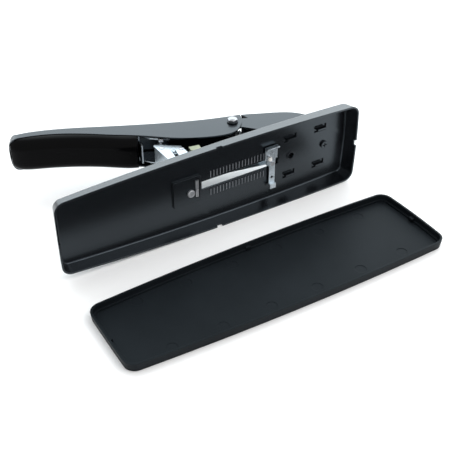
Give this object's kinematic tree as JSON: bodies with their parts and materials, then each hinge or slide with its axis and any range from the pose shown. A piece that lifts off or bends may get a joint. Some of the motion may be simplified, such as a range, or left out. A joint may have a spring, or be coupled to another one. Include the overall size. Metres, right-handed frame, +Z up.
{
  "type": "heavy-duty stapler",
  "caption": "Long-handled desk stapler lying on its side, black pressed base with sliding paper guide, lever and magazine, its base cover tray beside it.",
  "frame": {"origin": "centre of the flat underside of the base cover tray, on the table", "axes": "+X from the stapler's front to its rear, along the tray; +Y from the tray to the stapler, which is the stapler's own up; +Z up from the table"},
  "size_m": [0.286, 0.2653, 0.079],
  "materials": {
    "black_paint": "satin black paint",
    "black_plastic": "fine matt moulded",
    "grip_gloss": "gloss moulded grip",
    "zinc": "bright zinc plate",
    "yellow_zinc": "yellow passivated zinc",
    "steel": "bare steel",
    "chrome": "polished plate",
    "white_plastic": "satin"
  },
  "bodies": {
    "base": {"base_plate": "black_paint", "anvil_plate": "steel", "anvil_screw": "steel", "rear_stand": "black_paint", "stand_screw": "black_paint", "stand_nut": "zinc", "pivot_bolt": "chrome", "pivot_nut": "chrome", "washer_left": "black_paint", "washer_right": "black_paint", "return_spring": "black_paint", "magazine_pin": "steel"},
    "handle": {"handle_shell": "black_paint", "handle_grip": "grip_gloss", "lever_bracket": "zinc", "drive_pin": "chrome", "bracket_stud_left": "chrome", "bracket_stud_right": "chrome"},
    "links": {"drive_link": "zinc"},
    "magazine": {"magazine_channel": "zinc", "magazine_cover": "zinc", "head_plate_left": "zinc", "head_plate_right": "zinc", "head_rivet_front": "chrome", "head_rivet_rear": "chrome", "front_gate": "zinc", "staple_rail": "steel", "staple_strip": "steel", "rear_block": "black_paint", "pusher_rod": "steel", "pusher_spring": "steel"},
    "ram": {"ram_block": "zinc", "driver_blade": "steel"},
    "pusher": {"pusher": "black_paint"},
    "latch": {"magazine_latch": "yellow_zinc"},
    "guide": {"guide_clip": "zinc", "guide_rivet": "steel", "roller_pin": "steel", "paper_stop": "zinc"},
    "roller": {"guide_roller": "white_plastic"},
    "tray": {"base_tray": "black_plastic"}
  },
  "joints": [
    {"name": "handle_swing", "type": "hinge", "parent": "base", "child": "handle", "pos_m": [0.0493, 0.1433, 0.0391], "axis": [0, 0, 1], "range_deg": [0, 28], "stiffness_Nm_per_rad": 1.2, "springref_deg": -28.65, "deforming": ["return_spring"]},
    {"name": "magazine_close", "type": "hinge", "parent": "base", "child": "magazine", "pos_m": [0.0979, 0.1068, 0.0391], "axis": [0, 0, 1], "range_deg": [0, 9]},
    {"name": "link_swing", "type": "hinge", "parent": "handle", "child": "links", "pos_m": [-0.01399, 0.15998, 0.0391], "axis": [0, 0, 1], "range_deg": [-44, 0]},
    {"name": "ram_slide", "type": "slide", "parent": "magazine", "child": "ram", "axis": [-0.1564, -0.9877, 0], "range_m": [0, 0.014]},
    {"name": "pusher_slide", "type": "slide", "parent": "magazine", "child": "pusher", "axis": [0.9877, -0.1564, 0], "range_m": [0, 0.05], "stiffness_N_per_m": 60, "springref_m": -0.06, "deforming": ["pusher_spring"]},
    {"name": "latch_slide", "type": "slide", "parent": "magazine", "child": "latch", "axis": [0.9877, -0.1564, 0], "range_m": [0, 0.003], "stiffness_N_per_m": 200, "springref_m": -0.004},
    {"name": "guide_slide", "type": "slide", "parent": "base", "child": "guide", "axis": [-0.9999, -0.0157, 0], "range_m": [0, 0.048]},
    {"name": "roller_spin", "type": "hinge", "parent": "guide", "child": "roller", "pos_m": [0.05198, 0.08665, 0.04585], "axis": [0, 0, 1], "continuous": true},
    {"name": "tray_fit", "type": "hinge", "parent": "base", "child": "tray", "pos_m": [0, 0.0536, -0.0124], "axis": [1, 0, 0], "range_deg": [-90, 0]}
  ],
  "couplings": [
    {"joint": "magazine_close", "follows": "handle_swing", "ratio": 0.32143},
    {"joint": "ram_slide", "follows": "handle_swing", "m_per_rad": 0.028648},
    {"joint": "link_swing", "follows": "handle_swing", "ratio": -1.55}
  ]
}
